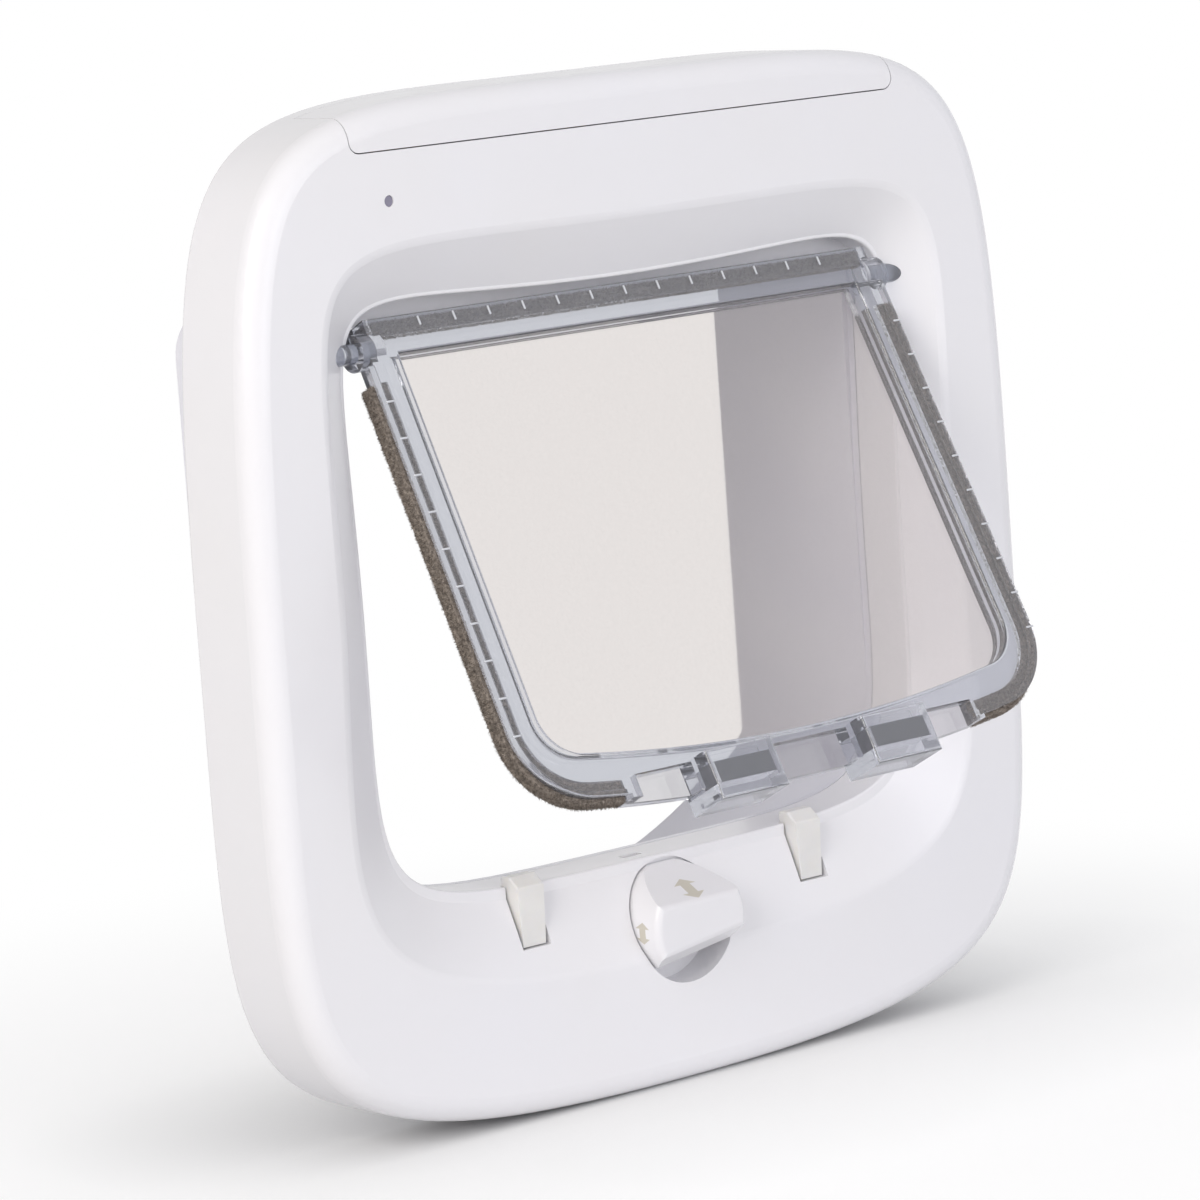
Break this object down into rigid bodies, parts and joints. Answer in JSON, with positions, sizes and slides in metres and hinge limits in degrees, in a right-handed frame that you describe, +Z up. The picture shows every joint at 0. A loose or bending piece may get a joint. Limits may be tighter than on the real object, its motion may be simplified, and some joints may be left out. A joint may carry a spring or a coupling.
{
  "type": "cat flap",
  "caption": "Framed cat flap with a clear swinging panel edged in pile, latch pawls on the sill, a turn knob lock, a battery cover and a tunnel through the door.",
  "frame": {"origin": "centre of the frame on the plane that lies against the door", "axes": "+X across to the right as seen from the front, +Y back into the door, +Z up; the front faces -Y"},
  "size_m": [0.24, 0.1281, 0.2451],
  "materials": {
    "white_abs": "moulded, semi-gloss",
    "clear_pc": "clear, polished",
    "pile": "brushed pile",
    "magnet": "coated, satin",
    "nylon": "moulded, slightly translucent",
    "acetal": "moulded, satin",
    "steel": "bright",
    "copper": "enamelled wire",
    "board": "solder mask",
    "black_abs": "moulded",
    "cell": "wrapped",
    "lens": "clear, tinted"
  },
  "bodies": {
    "frame": {"front_cover": "white_abs", "rear_housing": "white_abs", "battery_tray": "black_abs", "battery_cells": "cell", "battery_contacts": "steel", "circuit_board": "board", "led_lens": "lens", "learn_switch": "black_abs", "reader_coil": "copper", "hinge_pins": "clear_pc", "solenoid_coil": "copper", "solenoid_frame": "steel", "sill_magnets": "magnet", "housing_screws": "steel"},
    "flap": {"flap_panel": "clear_pc", "pile_left": "pile", "pile_right": "pile", "pile_top": "pile", "flap_magnets": "magnet"},
    "latch": {"pawl_left": "nylon", "pawl_right": "nylon", "latch_bar": "acetal", "plunger": "steel"},
    "knob": {"lock_knob": "white_abs", "lock_pinion": "acetal", "knob_screw": "steel"},
    "bolt": {"lock_bolt": "acetal"},
    "lid": {"battery_cover": "white_abs"},
    "button": {"learn_button": "acetal"}
  },
  "joints": [
    {"name": "flap_swing", "type": "hinge", "parent": "frame", "child": "flap", "pos_m": [0, -0.0182, 0.0645], "axis": [1, 0, 0], "range_deg": [-55, 107]},
    {"name": "latch_lift", "type": "slide", "parent": "frame", "child": "latch", "axis": [0, 0, 1], "range_m": [0, 0.0095]},
    {"name": "knob_turn", "type": "hinge", "parent": "frame", "child": "knob", "pos_m": [0, -0.02, -0.083], "axis": [0, 1, 0], "range_deg": [0, 270]},
    {"name": "bolt_rise", "type": "slide", "parent": "frame", "child": "bolt", "axis": [0, 0, 1], "range_m": [0, 0.01532]},
    {"name": "lid_lift", "type": "slide", "parent": "frame", "child": "lid", "axis": [0, 0, 1], "range_m": [0, 0.03]},
    {"name": "button_press", "type": "slide", "parent": "frame", "child": "button", "axis": [0, 0, -1], "range_m": [0, 0.001], "stiffness_N_per_m": 400}
  ],
  "couplings": [
    {"joint": "bolt_rise", "follows": "knob_turn", "m_per_rad": 0.00325}
  ]
}
